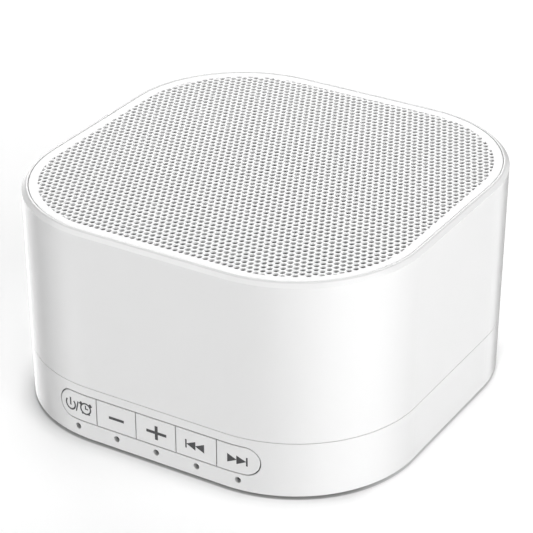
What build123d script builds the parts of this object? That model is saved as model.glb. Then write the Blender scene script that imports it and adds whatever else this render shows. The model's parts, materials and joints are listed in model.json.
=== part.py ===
from build123d import *
import math
import os

# White noise sound machine, millimetres. +Z is up, the keys face -Y, and the
# origin lies under the middle of the feet, on the surface that it stands on.

# ---- Housing ----
body_width = 101.5          # at the top edge, both ways
body_height = 55.0          # both shells, without the feet
corner_radius = 32.1        # of the outline at the top edge
side_draft = 0.56           # degrees, narrower towards the bottom
wall = 2.1
lip_width = 1.5             # from the outer edge to the grille's pocket
lip_flat = 0.5              # level top of the lip, inside its chamfer
lip_outer_fillet = 0.5      # where the chamfer meets the level top
lip_inner_fillet = 0.1      # on the edge round the grille
base_edge_fillet = 0.25
parting_height = 14.25      # above the underside of the base
parting_groove = 0.16       # left open between the two shells
tongue_height = 2.0
tongue_thickness = 1.0
tongue_fit = 0.1
floor_thickness = 1.8
foot_height = 0.8           # of rubber below the base
foot_diameter = 10.0
foot_recess = 0.8
foot_fit = 0.1
foot_edge = 0.3

# ---- Grille and deck ----
grille_fit = 0.15
grille_recess = 0.05        # below the top of the lip
grille_thickness = 0.4
grille_rim_height = 1.0     # of the edge that is folded down to the ledge
grille_fold = 0.75          # outside radius of that fold
grille_pitch = 4.8          # along a row, and from row to row
grille_hole_radius = 1.9    # corner radius of a hole
grille_hole_sides = 6
grille_border = 2.2         # plain metal round the perforated field
cloth_thickness = 0.4
cloth_fit = 0.2
ledge_height = 2.0          # from the deck up to the grille's rim
ledge_width = 2.65
deck_thickness = 2.0
deck_rib_height = 5.0
deck_rib_thickness = 1.2
deck_rib_spread = 14.0      # each rib's distance from the middle of its side
deck_rib_gap = 1.0          # from the speaker's flange

# ---- Screws that join the shells ----
boss_corner_inset = 7.0     # boss's axis from the inner face of the round corner
boss_diameter = 6.4
boss_meeting_height = 16.0  # where pillar and boss meet, above the ground
screw_diameter = 2.8
screw_head_diameter = 5.4
screw_head_height = 2.0
screw_head_level = 6.0      # underside of the head's seat, above the ground
screw_bite = 8.0            # length inside the upper boss
screw_fit = 0.05            # round a shank in its pilot hole
screw_clearance = 0.2       # round a shank that passes through
head_clearance = 0.4
pillar_wall = 1.2
slot_length_share = 0.6     # of a screw head's diameter
slot_width_share = 0.16

# ---- Keys ----
key_names = ["power_timer", "volume_down", "volume_up", "previous", "next"]
key_pitch = 11.0
key_end_extra = 0.05        # at each end of the row
key_opening_height = 7.65
key_level = 8.14            # middle of the keys above the underside of the base
key_gap = 0.3
key_edge = 0.12             # rounding of a cap's face
opening_edge = 0.12         # rounding of the opening's rim
key_travel = 0.4
key_flange = 0.9            # overlap behind the wall
key_flange_gap = 0.3
key_flange_thickness = 1.0
stem_diameter = 3.0

# ---- Key board ----
key_board_setback = 8.7     # behind the inner face of the front wall
key_board_thickness = 1.2
key_board_margin = 3.35     # beyond the key opening at each end
key_board_top = 14.4        # above the ground
board_post_width = 4.0
board_post_depth = 5.2
board_post_height = 9.4
board_slot_depth = 1.5
slot_fit = 0.1
switch_size = 6.0
switch_height = 3.5
plunger_diameter = 2.0
plunger_fit = 0.1
plunger_rise = 0.9
plunger_depth = 1.1
plunger_stop_gap = 0.3

# ---- Indicators ----
led_hole_diameter = 1.6
led_level = 2.65            # above the underside of the base
led_width = 1.6
led_height = 0.8
led_depth = 1.1
guide_pin_diameter = 1.3
guide_recess = 1.1          # pin's face behind the wall's face
guide_gap = 0.4
guide_bar_depth = 1.4
guide_bar_height = 1.4
guide_bar_setback = 6.4     # behind the front wall's outer face

# ---- Main board ----
board_width = 52.0
board_length = 60.0
board_thickness = 1.6
board_level = 6.0           # underside above the ground
board_back_gap = 2.2        # to the rear wall's inner face
board_hole_inset = 3.0
standoff_diameter = 5.0
board_screw_diameter = 2.0
board_screw_head = 4.0
board_screw_head_height = 1.4
board_screw_length = 4.0    # below the head

# ---- Sockets on the back ----
usb_x = -12.0
usb_width = 8.94
usb_height = 3.2
usb_depth = 7.3
usb_shell = 0.3
usb_tongue_thickness = 0.7
usb_tongue_width = 6.7
usb_tongue_length = 4.5
usb_back_thickness = 1.5
usb_setback = 0.7           # mouth behind the wall's face
usb_clearance = 0.28
plug_recess_width = 13.0
plug_recess_height = 7.2
plug_recess_depth = 0.5
jack_x = 12.0
jack_bore = 3.6
jack_width = 6.2
jack_height = 5.2
jack_nose_diameter = 5.4
jack_nose_setback = 0.3
jack_back_thickness = 0.8
jack_length = 13.4
jack_clearance = 0.3
socket_wall_gap = 0.2

# ---- Speaker ----
speaker_boss_gap = 2.32     # from the flange's corners to the housing's bosses
speaker_corner = 8.0
speaker_hole_inset = 5.5    # from the flange's edges
flange_thickness = 1.2
gasket_thickness = 0.5
gasket_fit = 0.25
surround_land = 2.5         # width of its seat on the flange
surround_margin = 3.0       # from that seat to the flange's edge
surround_roll = 3.3         # width of the half roll
surround_thickness = 0.5
cone_rim_width = 1.2
cone_thickness = 0.7
cone_depth = 8.25           # from the flange's face down to the coil's top
cone_stroke = 1.2           # each way
coil_margin = 0.35          # below the top plate with the cone at its highest
coil_radius = 10.2
coil_wall = 0.6
coil_gap = 0.4              # to the pole and to the top plate
glue_gap = 0.05
neck_collar = 0.8
dust_cap_radius = 12.0
dust_cap_height = 3.6
dust_cap_thickness = 0.5
basket_wall = 1.2
basket_lip = 0.3            # flange's overlap inside the cup
basket_taper = 2.5          # from the flange in to the shelf
basket_shelf = 5.0          # width of the shelf
basket_foot_height = 6.0
basket_bottom = 17.2        # foot's underside below the flange's face
basket_bore_step = 0.5      # its bore beyond the top plate's
basket_windows = 6
basket_window_angle = 38.0
basket_window_margin = 1.4
spider_thickness = 0.4
spider_wave = 0.5
spider_waves = 3
top_plate_radius = 19.0
top_plate_thickness = 3.0
magnet_radius = 21.0
magnet_bore_step = 1.4      # its bore beyond the top plate's
magnet_thickness = 9.0
back_plate_thickness = 3.2
back_plate_chamfer = 0.8
speaker_screw_diameter = 2.6
speaker_screw_head = 4.8
speaker_screw_head_height = 1.6
speaker_screw_bite = 2.8    # inside the deck's pad
deck_pad_diameter = 5.6
deck_pad_gap = 0.3          # below the cloth
speaker_opening_margin = 0.8
terminal_width = 12.0
terminal_height = 6.0
terminal_thickness = 1.2
terminal_gap = 1.6          # from the basket
tab_spacing = 5.0
tab_width = 2.4
tab_thickness = 0.5
tab_length = 6.0
tab_drop = 1.0              # below the flange
lead_diameter = 1.2
header_width = 8.0
header_depth = 4.5
header_height = 4.4
header_offset = 2.6         # nearer the middle than the terminals

# ---- Small parts on the main board: middle from its centre line and front edge, size, height ----
chip_place = (-9.0, 22.0)
chip_size = 9.0
chip_height = 1.4
amplifier_place = (8.0, 31.0)
amplifier_size = (4.0, 5.0)
amplifier_height = 1.5
capacitor_edge_gap = 5.0    # from the board's side to their axes
capacitor_places = (28.0, 36.0)
capacitor_diameter = 6.3
capacitor_height = 7.0
crystal_place = (-9.0, 10.0)
crystal_size = (8.0, 3.6)
crystal_height = 3.4
inductor_place = (-19.0, 40.0)
inductor_size = 7.0
inductor_height = 3.6
ribbon_width = 10.0
ribbon_thickness = 0.3
ribbon_level = 9.6          # at the key board's socket, above the ground
ribbon_socket_depth = 2.4
ribbon_socket_height = 2.0
ribbon_socket_width = 13.0
ribbon_socket_inset = 1.0   # from the main board's front edge

# ---- Levels and places that follow ----
tan_draft = math.tan(math.radians(side_draft))
base_z = foot_height
top_z = base_z + body_height
parting_z = base_z + parting_height
floor_z = base_z + floor_thickness
key_z = base_z + key_level
led_z = base_z + led_level
grille_top_z = top_z - grille_recess
grille_z = grille_top_z - grille_thickness
ledge_z = grille_top_z - grille_rim_height  # where the grille's rim stands
cloth_z = grille_z - cloth_thickness
deck_top_z = ledge_z - ledge_height
deck_z = deck_top_z - deck_thickness
flange_z = deck_z - gasket_thickness        # face of the speaker's flange
coil_top_z = flange_z - cone_depth
basket_z = flange_z - basket_bottom
shelf_z = basket_z + basket_foot_height + basket_wall
magnet_z = basket_z - top_plate_thickness - magnet_thickness
pole_radius = coil_radius - coil_wall - coil_gap
plate_bore_radius = coil_radius + coil_gap
key_count = len(key_names)
key_opening_width = key_count * key_pitch + 2 * key_end_extra
key_board_width = key_opening_width + 2 * key_board_margin
base_half = body_width / 2 - body_height * tan_draft
base_corner = corner_radius - body_height * tan_draft
base_corner_reach = (base_half - base_corner) * math.sqrt(2) + base_corner - wall
boss_reach = base_corner_reach - boss_corner_inset
boss_spread = boss_reach / math.sqrt(2)
speaker_corner_reach = boss_reach - boss_diameter / 2 - speaker_boss_gap
speaker_half = (speaker_corner_reach - speaker_corner) / math.sqrt(2) + speaker_corner
speaker_hole_spread = speaker_half - speaker_hole_inset
surround_land_radius = speaker_half - surround_margin
surround_outer_radius = surround_land_radius - surround_land
surround_inner_radius = surround_outer_radius - surround_roll
basket_radius = surround_outer_radius + basket_lip + basket_wall
basket_shelf_radius = basket_radius - basket_taper
basket_foot_radius = basket_shelf_radius - basket_shelf
terminal_y = basket_radius + terminal_gap
header_y = terminal_y - header_offset
board_top_z = board_level + board_thickness
board_back_y = body_width / 2 - (top_z - board_level) * tan_draft - wall - board_back_gap
board_y = board_back_y - board_length / 2
board_front_y = board_back_y - board_length
cut = 1.0                                   # how far a cutter passes a face
face_tolerance = 0.02


def wall_half(z, inset=0.0):
    """Half of the housing's width at a height, set in from its outer face."""
    return body_width / 2 - (top_z - z) * tan_draft - inset


def wall_y(x, z, inset=0.0):
    """How far the wall lies from the middle, measured along Y at a given x."""
    radius = corner_radius - (top_z - z) * tan_draft - inset
    flat = wall_half(z, inset) - radius
    beyond = max(abs(x) - flat, 0.0)
    return flat + math.sqrt(max(radius**2 - beyond**2, 0.0))


def follows_wall(edge):
    """Whether an edge runs along the housing's outer face, at the front or the back."""
    points = [edge.position_at(quarter / 4) for quarter in range(5)]
    return all(abs(abs(point.Y) - wall_y(point.X, point.Z)) < face_tolerance for point in points)


def drafted_block(z0, z1, inset=0.0):
    """Round-cornered block that widens upwards with the housing's draft."""
    width = 2 * wall_half(z0, inset)
    radius = corner_radius - (top_z - z0) * tan_draft - inset
    section = Plane.XY.offset(z0) * RectangleRounded(width, width, radius)
    return extrude(section, amount=z1 - z0, taper=-side_draft)


def drafted_band(z0, z1, outer_inset, inner_inset):
    """Wall between two insets."""
    return drafted_block(z0, z1, outer_inset) - drafted_block(z0 - cut, z1 + cut, inner_inset)


def upright_block(width, radius, z0, z1):
    return extrude(Plane.XY.offset(z0) * RectangleRounded(width, width, radius), amount=z1 - z0)


def box_between(x0, x1, y0, y1, z0, z1):
    middle = Pos((x0 + x1) / 2, (y0 + y1) / 2, (z0 + z1) / 2)
    return middle * Box(x1 - x0, y1 - y0, z1 - z0)


def box_on_board(place, size_x, size_y, height):
    """Block on the main board, placed from its centre line and its front edge."""
    x, from_front = place
    return Pos(x, board_front_y + from_front, board_top_z + height / 2) * Box(size_x, size_y, height)


def rod(x, y, z0, z1, diameter):
    return Pos(x, y, (z0 + z1) / 2) * Cylinder(diameter / 2, z1 - z0)


def rod_y(x, z, y0, y1, diameter):
    """Round rod along Y."""
    return Pos(x, (y0 + y1) / 2, z) * Rot(90, 0, 0) * Cylinder(diameter / 2, y1 - y0)


def ring(inner_radius, outer_radius, z0, z1):
    section = Circle(outer_radius) - Circle(inner_radius)
    return extrude(Plane.XY.offset(z0) * section, amount=z1 - z0)


def prism_y(sketch, x, z, y0, y1):
    """Sketch seen from the front, pushed along Y from y0 to y1."""
    plane = Plane(origin=(x, y1, z), x_dir=(1, 0, 0), z_dir=(0, -1, 0))
    return extrude(plane * sketch, amount=y1 - y0)


def turned(points):
    """Solid of revolution about Z from a closed outline of (radius, height) points."""
    outline = Plane.XZ * make_face(Polyline(*points, close=True))
    return revolve(outline, axis=Axis.Z)


def corners(spread):
    return [(sx * spread, sy * spread) for sx in (-1, 1) for sy in (-1, 1)]


def key_centre(index):
    return (index - (key_count - 1) / 2) * key_pitch


# ---- Upper housing ----
def upper_housing():
    outer = drafted_block(parting_z + parting_groove / 2, top_z)
    outer = chamfer(outer.edges().group_by(Axis.Z)[-1], lip_width - lip_flat)
    outer = fillet(outer.edges().group_by(Axis.Z)[-1], lip_outer_fillet)
    shell = outer - drafted_block(parting_z - cut, deck_z, wall)
    tongue_room = tongue_thickness + tongue_fit
    shell -= drafted_block(parting_z - cut, parting_z + tongue_height, wall - tongue_room)
    pocket = body_width - 2 * lip_width
    pocket_corner = corner_radius - lip_width
    shell -= upright_block(pocket, pocket_corner, ledge_z, top_z + cut)
    shell = fillet(rim_edges(shell, pocket / 2), lip_inner_fillet)
    recess = pocket - 2 * ledge_width
    shell -= upright_block(recess, pocket_corner - ledge_width, deck_top_z, ledge_z + cut)
    opening_radius = surround_outer_radius + speaker_opening_margin
    shell -= rod(0, 0, deck_z - cut, deck_top_z + cut, 2 * opening_radius)
    for x, y in corners(boss_spread):
        shell += screw_boss(x, y)
    for x, y in corners(boss_spread):
        shell -= rod(x, y, boss_meeting_height - cut, screw_top_z() + cut, pilot_diameter())
    for x, y in corners(speaker_hole_spread):
        shell += rod(x, y, deck_z, cloth_z - deck_pad_gap, deck_pad_diameter)
        pilot = speaker_screw_diameter + 2 * screw_fit
        shell -= rod(x, y, deck_z - cut, deck_z + speaker_screw_bite + screw_fit, pilot)
    for turn in range(4):
        for side in (-1, 1):
            shell += Rot(0, 0, 90 * turn) * deck_rib(side * deck_rib_spread)
    return shell


def rim_edges(shell, half):
    """Edges on top of the lip that lie round the grille's pocket."""
    top = shell.edges().group_by(Axis.Z)[-1]
    return [edge for edge in top if edge.bounding_box().max.Y < half + lip_inner_fillet
            and edge.bounding_box().max.X < half + lip_inner_fillet
            and edge.bounding_box().min.X > -half - lip_inner_fillet
            and edge.bounding_box().min.Y > -half - lip_inner_fillet]


def screw_top_z():
    return boss_meeting_height + screw_bite


def pilot_diameter():
    return screw_diameter + 2 * screw_fit


def screw_boss(x, y):
    """Boss that hangs from the deck, with a web to the corner of the wall."""
    boss = rod(x, y, boss_meeting_height, deck_z, boss_diameter)
    from_middle = math.hypot(x, y)
    flat = body_width / 2 - corner_radius
    wall_middle = flat * math.sqrt(2) + corner_radius - wall / 2 - body_height * tan_draft
    reach = wall_middle - from_middle
    web = Pos(from_middle + reach / 2, 0, 0) * Box(reach, deck_rib_thickness, deck_z - screw_top_z())
    web = Pos(0, 0, (deck_z + screw_top_z()) / 2) * web
    return boss + Rot(0, 0, math.degrees(math.atan2(y, x))) * web


def deck_rib(x):
    """Rib under the deck, from beside the speaker's flange to the wall."""
    y0 = speaker_half + deck_rib_gap
    y1 = wall_half(deck_z - deck_rib_height, wall / 2)
    half = deck_rib_thickness / 2
    return box_between(x - half, x + half, y0, y1, deck_z - deck_rib_height, deck_z)


# ---- Base housing ----
def base_housing():
    outer = drafted_block(base_z, parting_z - parting_groove / 2)
    outer = fillet(outer.edges().group_by(Axis.Z)[0], base_edge_fillet)
    tongue_z = parting_z + tongue_height
    tongue_inset = wall - tongue_thickness
    shell = outer + drafted_block(parting_z - parting_groove, tongue_z, tongue_inset)
    shell -= drafted_block(floor_z, tongue_z + cut, wall)
    shell -= key_opening_cutter()
    shell = fillet([edge for edge in shell.edges() if bounds_keys(edge)], opening_edge)
    for index in range(key_count):
        shell -= indicator_hole(key_centre(index))
    shell -= usb_opening()
    shell -= jack_opening()
    for side in (-1, 1):
        shell += board_post(side)
    for x, y in board_holes():
        shell += rod(x, y, base_z + floor_thickness / 2, board_level, standoff_diameter)
        pilot = board_screw_diameter + 2 * screw_fit
        shell -= rod(x, y, board_top_z - board_screw_length - screw_fit, board_level + cut, pilot)
    for x, y in corners(boss_spread):
        shell += screw_pillar(x, y)
    for x, y in corners(boss_spread):
        shell -= screw_passage(x, y)
    return shell


def bounds_keys(edge):
    """Whether an edge of the base is part of the key opening's outer rim."""
    box = edge.bounding_box()
    reach = key_opening_height / 2 + face_tolerance
    return follows_wall(edge) and box.min.Z > key_z - reach and box.max.Z < key_z + reach


def key_opening_cutter():
    half = key_opening_width / 2
    outside = wall_half(key_z) + cut
    inside = wall_y(half, key_z, wall) - cut
    opening = SlotOverall(key_opening_width, key_opening_height)
    return prism_y(opening, 0, key_z, -outside, -inside)


def indicator_hole(x):
    outside = wall_half(led_z) + cut
    inside = wall_y(x, led_z, wall) - cut
    return rod_y(x, led_z, -outside, -inside, led_hole_diameter)


def usb_z():
    return board_top_z + usb_height / 2


def jack_z():
    return board_top_z + jack_height / 2


def usb_opening():
    """Hole for the inlet, in a shallow recess for the plug's grip."""
    outside = wall_half(usb_z()) + cut
    inside = wall_y(abs(usb_x) + usb_width, usb_z(), wall) - cut
    hole = SlotOverall(usb_width + 2 * usb_clearance, usb_height + 2 * usb_clearance)
    recess = SlotOverall(plug_recess_width, plug_recess_height)
    recess_floor = wall_half(usb_z()) - plug_recess_depth
    passage = prism_y(hole, usb_x, usb_z(), inside, outside)
    return passage + prism_y(recess, usb_x, usb_z(), recess_floor, outside)


def jack_opening():
    outside = wall_half(jack_z()) + cut
    inside = wall_y(abs(jack_x) + jack_width, jack_z(), wall) - cut
    return rod_y(jack_x, jack_z(), inside, outside, jack_nose_diameter + 2 * jack_clearance)


def board_post(side):
    """Slotted post that holds one end of the key board."""
    front = key_board_front()
    middle_y = front + key_board_thickness / 2
    x0 = key_board_width / 2 - board_slot_depth
    x1 = x0 + board_post_width
    y0 = middle_y - board_post_depth / 2
    y1 = middle_y + board_post_depth / 2
    sunk = base_z + floor_thickness / 2
    post = box_between(x0, x1, y0, y1, sunk, floor_z + board_post_height)
    slot_x = key_board_width / 2 + slot_fit
    slot_y0 = front - slot_fit
    slot_y1 = front + key_board_thickness + slot_fit
    post -= box_between(x0 - cut, slot_x, slot_y0, slot_y1, floor_z, floor_z + board_post_height + cut)
    return post if side > 0 else mirror(post, about=Plane.YZ)


def pillar_foot_diameter():
    return screw_head_diameter + 2 * head_clearance + 2 * pillar_wall


def screw_pillar(x, y):
    sunk = base_z + floor_thickness / 2
    foot = rod(x, y, sunk, screw_head_level + pillar_wall, pillar_foot_diameter())
    return foot + rod(x, y, sunk, boss_meeting_height, boss_diameter)


def screw_passage(x, y):
    """Way for the screw and its head, and the recess for the foot that hides it."""
    shank = screw_diameter + 2 * screw_clearance
    head = screw_head_diameter + 2 * head_clearance
    hole = rod(x, y, base_z - cut, boss_meeting_height + cut, shank)
    hole += rod(x, y, base_z - cut, screw_head_level, head)
    return hole + rod(x, y, base_z - cut, base_z + foot_recess, foot_diameter + 2 * foot_fit)


def rubber_foot(x, y):
    foot = rod(x, y, 0, base_z + foot_recess, foot_diameter)
    return fillet(foot.edges().group_by(Axis.Z)[0], foot_edge)


def pan_screw(x, y, seat_z, shank, head, head_height, length):
    """Screw driven upwards, with its head below the seat and a cross recess."""
    screw = rod(x, y, seat_z, seat_z + length, shank)
    screw += rod(x, y, seat_z - head_height, seat_z, head)
    for turn in (0, 90):
        slot = Box(head * slot_length_share, head * slot_width_share, head_height)
        screw -= Pos(x, y, seat_z - head_height) * Rot(0, 0, turn) * slot
    return screw


def housing_screws():
    length = screw_top_z() - screw_head_level
    size = (screw_diameter, screw_head_diameter, screw_head_height, length)
    return Compound([pan_screw(x, y, screw_head_level, *size) for x, y in corners(boss_spread)])


# ---- Grille ----
def inside_rounded_square(x, y, half, radius):
    """Whether a point lies inside a square with round corners."""
    beyond_x = max(abs(x) - (half - radius), 0.0)
    beyond_y = max(abs(y) - (half - radius), 0.0)
    return math.hypot(beyond_x, beyond_y) <= radius


def grille_hole_places():
    """Staggered rows that follow the front, kept inside the perforated field."""
    half = body_width / 2 - lip_width - grille_fit - grille_border - grille_hole_radius
    radius = corner_radius - (body_width / 2 - half)
    rows = int(half / grille_pitch) + 1
    places = []
    for row in range(-rows, rows + 1):
        shift = (row % 2) * grille_pitch / 2
        for column in range(-rows - 1, rows + 1):
            x = column * grille_pitch + shift
            y = row * grille_pitch
            if inside_rounded_square(x, y, half, radius):
                places.append((x, y))
    return places


def block_inside_lip(inset, z0, z1):
    """Upright block inside the lip, set in from its outer edge."""
    return upright_block(body_width - 2 * inset, corner_radius - inset, z0, z1)


def speaker_grille():
    """Perforated sheet with its edge folded down to the ledge."""
    inset = lip_width + grille_fit
    tray = block_inside_lip(inset, ledge_z, grille_top_z)
    tray = fillet(tray.edges().group_by(Axis.Z)[-1], grille_fold)
    tray -= block_inside_lip(inset + grille_thickness, ledge_z - cut, grille_z)
    hole = Plane.XY.offset(grille_z - cut) * RegularPolygon(grille_hole_radius, grille_hole_sides)
    punch = extrude(hole, amount=grille_thickness + 2 * cut)
    return tray - [Pos(x, y) * punch for x, y in grille_hole_places()]


def dust_cloth():
    """Cloth glued under the sheet, inside its folded rim."""
    inset = lip_width + grille_fit + grille_thickness + cloth_fit
    return block_inside_lip(inset, cloth_z, grille_z)


# ---- Keys and their board ----
def key_depth():
    return wall + key_flange_gap + key_flange_thickness


def key_span(index):
    """Left and right faces of a key, half the key gap from each divider."""
    middle = key_centre(index)
    half_opening = key_opening_width / 2 - key_gap
    left = -half_opening if index == 0 else middle - key_pitch / 2 + key_gap / 2
    right = half_opening if index == key_count - 1 else middle + key_pitch / 2 - key_gap / 2
    return left, right


def key_cap(index):
    """Cap that follows the curved wall, with a flange behind it and a stem to its switch."""
    left, right = key_span(index)
    height = key_opening_height - 2 * key_gap
    strip = SlotOverall(key_opening_width - 2 * key_gap, height)
    middle = (left + right) / 2
    own_part = Pos(middle, 0) * Rectangle(right - left, height)
    outside = wall_half(key_z) + cut
    inside = wall_y(key_opening_width / 2 + key_flange, key_z, key_depth()) - cut
    z0 = key_z - key_opening_height
    z1 = key_z + key_opening_height
    cap = drafted_band(z0, z1, 0, key_depth())
    cap &= prism_y(strip & own_part, 0, key_z, -outside, -inside)
    flange_left = left - key_flange if index == 0 else left
    flange_right = right + key_flange if index == key_count - 1 else right
    flange_middle = (flange_left + flange_right) / 2
    flange_height = height + 2 * key_flange
    flange_face = Pos(flange_middle, 0) * Rectangle(flange_right - flange_left, flange_height)
    flange = drafted_band(z0, z1, wall + key_flange_gap, key_depth())
    flange &= prism_y(flange_face, 0, key_z, -outside, -inside)
    body = cap + flange
    body = fillet([edge for edge in body.edges() if follows_wall(edge)], key_edge)
    stem_x = key_centre(index)
    stem_front = wall_y(stem_x, key_z, key_depth() - key_flange_thickness / 2)
    stem = rod_y(stem_x, key_z, -stem_front, plunger_front(), stem_diameter)
    return body + stem


def key_board_front():
    return -(wall_half(key_z, wall) - key_board_setback)


def switch_front():
    return key_board_front() - switch_height


def plunger_front():
    return switch_front() - plunger_rise


def switch_plunger(index):
    rear = switch_front() + plunger_depth
    return rod_y(key_centre(index), key_z, plunger_front(), rear, plunger_diameter)


def tact_switch(index):
    x = key_centre(index)
    half = switch_size / 2
    body = box_between(x - half, x + half, switch_front(), key_board_front(), key_z - half, key_z + half)
    bore_end = switch_front() + plunger_depth + key_travel + plunger_stop_gap
    return body - rod_y(x, key_z, switch_front() - cut, bore_end, plunger_diameter + 2 * plunger_fit)


def key_board():
    half = key_board_width / 2
    front = key_board_front()
    return box_between(-half, half, front, front + key_board_thickness, floor_z, key_board_top)


def light_guide():
    """Clear bar on the floor with a pin into each indicator hole."""
    outer = wall_half(led_z)
    bar_front = -(outer - guide_bar_setback)
    half = key_centre(key_count - 1) + guide_bar_height
    guide = box_between(-half, half, bar_front, bar_front + guide_bar_depth,
                        floor_z, floor_z + guide_bar_height)
    pin_rear = key_board_front() - led_depth - guide_gap
    for index in range(key_count):
        x = key_centre(index)
        pin_front = -(wall_y(x, led_z) - guide_recess)
        guide += rod_y(x, led_z, pin_front, pin_rear, guide_pin_diameter)
    return guide


def indicator_leds():
    leds = []
    for index in range(key_count):
        x = key_centre(index)
        rear = key_board_front()
        leds.append(box_between(x - led_width / 2, x + led_width / 2, rear - led_depth, rear,
                                led_z - led_height / 2, led_z + led_height / 2))
    return Compound(leds)


# ---- Main board ----
def board_holes():
    x = board_width / 2 - board_hole_inset
    y = board_length / 2 - board_hole_inset
    return [(sx * x, board_y + sy * y) for sx in (-1, 1) for sy in (-1, 1)]


def main_board():
    board = Pos(0, board_y, board_level + board_thickness / 2) * Box(
        board_width, board_length, board_thickness)
    for x, y in board_holes():
        hole = board_screw_diameter + 2 * screw_clearance
        board -= rod(x, y, board_level - cut, board_top_z + cut, hole)
    return board


def board_screw(x, y):
    """Screw driven downwards into a standoff."""
    screw = rod(x, y, board_top_z - board_screw_length, board_top_z, board_screw_diameter)
    top = board_top_z + board_screw_head_height
    screw += rod(x, y, board_top_z, top, board_screw_head)
    for turn in (0, 90):
        slot = Box(board_screw_head * slot_length_share, board_screw_head * slot_width_share,
                   board_screw_head_height)
        screw -= Pos(x, y, top) * Rot(0, 0, turn) * slot
    return screw


def board_screws():
    return Compound([board_screw(x, y) for x, y in board_holes()])


def sound_chip():
    return box_on_board(chip_place, chip_size, chip_size, chip_height)


def amplifier_chip():
    return box_on_board(amplifier_place, *amplifier_size, amplifier_height)


def capacitors():
    x = board_width / 2 - capacitor_edge_gap
    top = board_top_z + capacitor_height
    return Compound([rod(x, board_front_y + from_front, board_top_z, top, capacitor_diameter)
                     for from_front in capacitor_places])


def crystal():
    size_x, size_y = crystal_size
    x, from_front = crystal_place
    can = Pos(x, board_front_y + from_front, board_top_z) * SlotOverall(size_x, size_y)
    return extrude(can, amount=crystal_height)


def inductor():
    block = box_on_board(inductor_place, inductor_size, inductor_size, inductor_height)
    return chamfer(block.edges().filter_by(Axis.Z), inductor_size / 6)


def speaker_header():
    return box_on_board((0, header_y - board_front_y), header_width, header_depth, header_height)


def main_ribbon_socket_y():
    """Front face of the ribbon's socket on the main board."""
    return board_front_y + ribbon_socket_inset


def main_ribbon_socket():
    y0 = main_ribbon_socket_y()
    half = ribbon_socket_width / 2
    return box_between(-half, half, y0, y0 + ribbon_socket_depth,
                       board_top_z, board_top_z + ribbon_socket_height)


def key_ribbon_socket():
    y0 = key_board_front() + key_board_thickness
    half = ribbon_socket_width / 2
    low = ribbon_level - ribbon_socket_height / 2
    return box_between(-half, half, y0, y0 + ribbon_socket_depth, low, low + ribbon_socket_height)


def ribbon_cable():
    """Flat cable that sags a little between its two sockets."""
    y0 = key_board_front() + key_board_thickness + ribbon_socket_depth
    y1 = main_ribbon_socket_y()
    z0 = ribbon_level
    z1 = board_top_z + ribbon_socket_height / 2
    sag = (y1 - y0) / 8
    half = ribbon_thickness / 2
    lower = ThreePointArc((y0, z0 - half), ((y0 + y1) / 2, (z0 + z1) / 2 - sag - half), (y1, z1 - half))
    upper = ThreePointArc((y0, z0 + half), ((y0 + y1) / 2, (z0 + z1) / 2 - sag + half), (y1, z1 + half))
    ends = [Line(lower @ 0, upper @ 0), Line(lower @ 1, upper @ 1)]
    profile = make_face([lower, upper, *ends])
    plane = Plane(origin=(-ribbon_width / 2, 0, 0), x_dir=(0, 1, 0), z_dir=(1, 0, 0))
    return extrude(plane * profile, amount=ribbon_width)


# ---- Sockets ----
def usb_c_inlet():
    """Oval shell with a tongue, open at the back wall's face."""
    mouth = wall_half(usb_z()) - usb_setback
    back = mouth - usb_depth
    shell = prism_y(SlotOverall(usb_width, usb_height), usb_x, usb_z(), back, mouth)
    hollow = SlotOverall(usb_width - 2 * usb_shell, usb_height - 2 * usb_shell)
    shell -= prism_y(hollow, usb_x, usb_z(), back + usb_back_thickness, mouth + cut)
    tongue_end = back + usb_back_thickness + usb_tongue_length
    half_width = usb_tongue_width / 2
    half_height = usb_tongue_thickness / 2
    return shell + box_between(usb_x - half_width, usb_x + half_width, back, tongue_end,
                               usb_z() - half_height, usb_z() + half_height)


def headphone_jack():
    face = wall_half(jack_z()) - jack_nose_setback
    back = face - jack_length
    shoulder = wall_y(abs(jack_x) + jack_width / 2, jack_z(), wall) - socket_wall_gap
    half = jack_width / 2
    body = box_between(jack_x - half, jack_x + half, back, shoulder, board_top_z,
                       board_top_z + jack_height)
    body += rod_y(jack_x, jack_z(), shoulder - cut, face, jack_nose_diameter)
    return body - rod_y(jack_x, jack_z(), back + jack_back_thickness, face + cut, jack_bore)


# ---- Speaker ----
def speaker_gasket():
    plate = upright_block(2 * speaker_half, speaker_corner, flange_z, deck_z)
    plate -= rod(0, 0, flange_z - cut, deck_z + cut, 2 * (surround_land_radius + gasket_fit))
    return drill_flange(plate, flange_z - cut, deck_z + cut)


def drill_flange(plate, z0, z1):
    for x, y in corners(speaker_hole_spread):
        plate -= rod(x, y, z0, z1, speaker_screw_diameter + 2 * screw_clearance)
    return plate


def speaker_frame():
    """Pressed basket: square flange, tapered cup with windows, shelf and foot."""
    low = flange_z - flange_thickness
    flange = upright_block(2 * speaker_half, speaker_corner, low, flange_z)
    flange -= rod(0, 0, low - cut, flange_z + cut, 2 * surround_outer_radius)
    inner_bore = plate_bore_radius + basket_bore_step
    cup = turned([
        (basket_radius, low),
        (basket_shelf_radius, shelf_z),
        (basket_shelf_radius, shelf_z - basket_wall),
        (basket_foot_radius, shelf_z - basket_wall),
        (basket_foot_radius, basket_z),
        (inner_bore, basket_z),
        (inner_bore, basket_z + basket_wall),
        (basket_foot_radius - basket_wall, basket_z + basket_wall),
        (basket_foot_radius - basket_wall, shelf_z),
        (basket_shelf_radius - basket_wall, shelf_z),
        (basket_radius - basket_wall, low),
    ])
    for index in range(basket_windows):
        cup -= Rot(0, 0, (index + 0.5) * 360 / basket_windows) * basket_window()
    return drill_flange(flange + cup, low - cut, flange_z + cut)


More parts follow.
